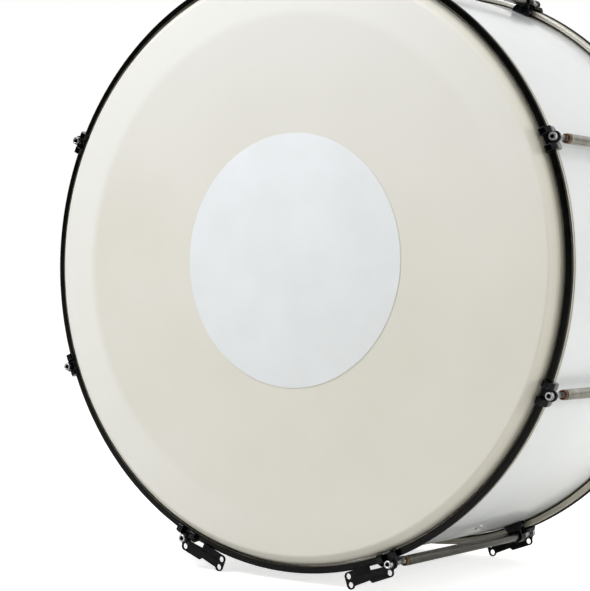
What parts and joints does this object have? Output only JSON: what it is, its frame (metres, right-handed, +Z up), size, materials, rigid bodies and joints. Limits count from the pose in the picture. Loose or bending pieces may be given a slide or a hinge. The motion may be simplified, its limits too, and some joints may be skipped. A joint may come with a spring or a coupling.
{
  "type": "marching bass drum",
  "caption": "Marching bass drum with a white shell, cream heads with a centre patch, black hoops, claws on long tension lines and flat carrier plates below.",
  "frame": {"origin": "on the floor that the drum stands on, below the middle of its bounding box", "axes": "+X to the right as the front head is looked at, +Y along the drum's axis from the front head to the rear head, +Z up"},
  "size_m": [0.734, 0.3638, 0.7435],
  "materials": {
    "white_lacquer": "gloss white lacquer on a wooden shell",
    "bare_maple": "clear satin maple",
    "cream_film": "cream film with a fine matte coating",
    "pale_film": "pale bluish film with a fine matte coating",
    "black_enamel": "black enamel, satin gloss",
    "black_casting": "black powder coat, satin",
    "satin_aluminium": "satin aluminium channel",
    "satin_tube": "satin aluminium tube",
    "copper_brass": "turned copper-coloured brass",
    "bright_steel": "bright plated steel"
  },
  "bodies": {
    "drum_shell": {"shell": "white_lacquer", "front_stiffening_ring": "bare_maple", "rear_stiffening_ring": "bare_maple", "vent_eyelet": "bright_steel"},
    "front_rim": {"front_head_film": "cream_film", "front_flesh_hoop": "satin_aluminium", "front_muffling_ring": "pale_film", "front_centre_patch": "pale_film", "front_counter_hoop": "black_enamel", "front_claw_1": "black_casting", "front_claw_2": "black_casting", "front_claw_3": "black_casting", "front_claw_4": "black_casting", "front_claw_5": "black_casting", "front_claw_6": "black_casting", "front_claw_7": "black_casting", "front_claw_8": "black_casting", "front_left_carrier_plate": "black_casting", "front_right_carrier_plate": "black_casting"},
    "rear_rim": {"rear_head_film": "cream_film", "rear_flesh_hoop": "satin_aluminium", "rear_muffling_ring": "pale_film", "rear_centre_patch": "pale_film", "rear_counter_hoop": "black_enamel", "rear_claw_1": "black_casting", "rear_claw_2": "black_casting", "rear_claw_3": "black_casting", "rear_claw_4": "black_casting", "rear_claw_5": "black_casting", "rear_claw_6": "black_casting", "rear_claw_7": "black_casting", "rear_claw_8": "black_casting", "tension_tube_1": "satin_tube", "tension_tube_2": "satin_tube", "tension_tube_3": "satin_tube", "tension_tube_4": "satin_tube", "tension_tube_5": "satin_tube", "tension_tube_6": "satin_tube", "tension_tube_7": "satin_tube", "tension_tube_8": "satin_tube", "threaded_insert_1": "copper_brass", "threaded_insert_2": "copper_brass", "threaded_insert_3": "copper_brass", "threaded_insert_4": "copper_brass", "threaded_insert_5": "copper_brass", "threaded_insert_6": "copper_brass", "threaded_insert_7": "copper_brass", "threaded_insert_8": "copper_brass", "rear_left_carrier_plate": "black_casting", "rear_right_carrier_plate": "black_casting", "rear_left_plate_screw": "bright_steel", "rear_right_plate_screw": "bright_steel"},
    "screw_1": {"tension_screw_1": "bright_steel"},
    "screw_2": {"tension_screw_2": "bright_steel"},
    "screw_3": {"tension_screw_3": "bright_steel"},
    "screw_4": {"tension_screw_4": "bright_steel"},
    "screw_5": {"tension_screw_5": "bright_steel"},
    "screw_6": {"tension_screw_6": "bright_steel"},
    "screw_7": {"tension_screw_7": "bright_steel"},
    "screw_8": {"tension_screw_8": "bright_steel"}
  },
  "joints": [
    {"name": "front_rim_slide", "type": "slide", "parent": "drum_shell", "child": "front_rim", "axis": [0, -1, 0], "range_m": [0, 0.01]},
    {"name": "rear_rim_slide", "type": "slide", "parent": "drum_shell", "child": "rear_rim", "axis": [0, 1, 0], "range_m": [0, 0.01]},
    {"name": "screw_1_turn", "type": "hinge", "parent": "front_rim", "child": "screw_1", "pos_m": [0.14236, -0.171, 0.72017], "axis": [0, -1, 0], "range_deg": [0, 7200]},
    {"name": "screw_2_turn", "type": "hinge", "parent": "front_rim", "child": "screw_2", "pos_m": [0.34267, -0.171, 0.52127], "axis": [0, -1, 0], "range_deg": [0, 7200]},
    {"name": "screw_3_turn", "type": "hinge", "parent": "front_rim", "child": "screw_3", "pos_m": [0.34555, -0.171, 0.23873], "axis": [0, -1, 0], "range_deg": [0, 7200]},
    {"name": "screw_4_turn", "type": "hinge", "parent": "front_rim", "child": "screw_4", "pos_m": [0.14828, -0.171, 0.03532], "axis": [0, -1, 0], "range_deg": [0, 7200]},
    {"name": "screw_5_turn", "type": "hinge", "parent": "front_rim", "child": "screw_5", "pos_m": [-0.14828, -0.171, 0.03532], "axis": [0, -1, 0], "range_deg": [0, 7200]},
    {"name": "screw_6_turn", "type": "hinge", "parent": "front_rim", "child": "screw_6", "pos_m": [-0.34446, -0.171, 0.23602], "axis": [0, -1, 0], "range_deg": [0, 7200]},
    {"name": "screw_7_turn", "type": "hinge", "parent": "front_rim", "child": "screw_7", "pos_m": [-0.33964, -0.171, 0.52824], "axis": [0, -1, 0], "range_deg": [0, 7200]},
    {"name": "screw_8_turn", "type": "hinge", "parent": "front_rim", "child": "screw_8", "pos_m": [-0.14236, -0.171, 0.72017], "axis": [0, -1, 0], "range_deg": [0, 7200]}
  ],
  "couplings": [
    {"joint": "rear_rim_slide", "follows": "front_rim_slide", "ratio": 1},
    {"joint": "screw_1_turn", "follows": "front_rim_slide", "rad_per_m": 12566},
    {"joint": "screw_2_turn", "follows": "front_rim_slide", "rad_per_m": 12566},
    {"joint": "screw_3_turn", "follows": "front_rim_slide", "rad_per_m": 12566},
    {"joint": "screw_4_turn", "follows": "front_rim_slide", "rad_per_m": 12566},
    {"joint": "screw_5_turn", "follows": "front_rim_slide", "rad_per_m": 12566},
    {"joint": "screw_6_turn", "follows": "front_rim_slide", "rad_per_m": 12566},
    {"joint": "screw_7_turn", "follows": "front_rim_slide", "rad_per_m": 12566},
    {"joint": "screw_8_turn", "follows": "front_rim_slide", "rad_per_m": 12566}
  ]
}
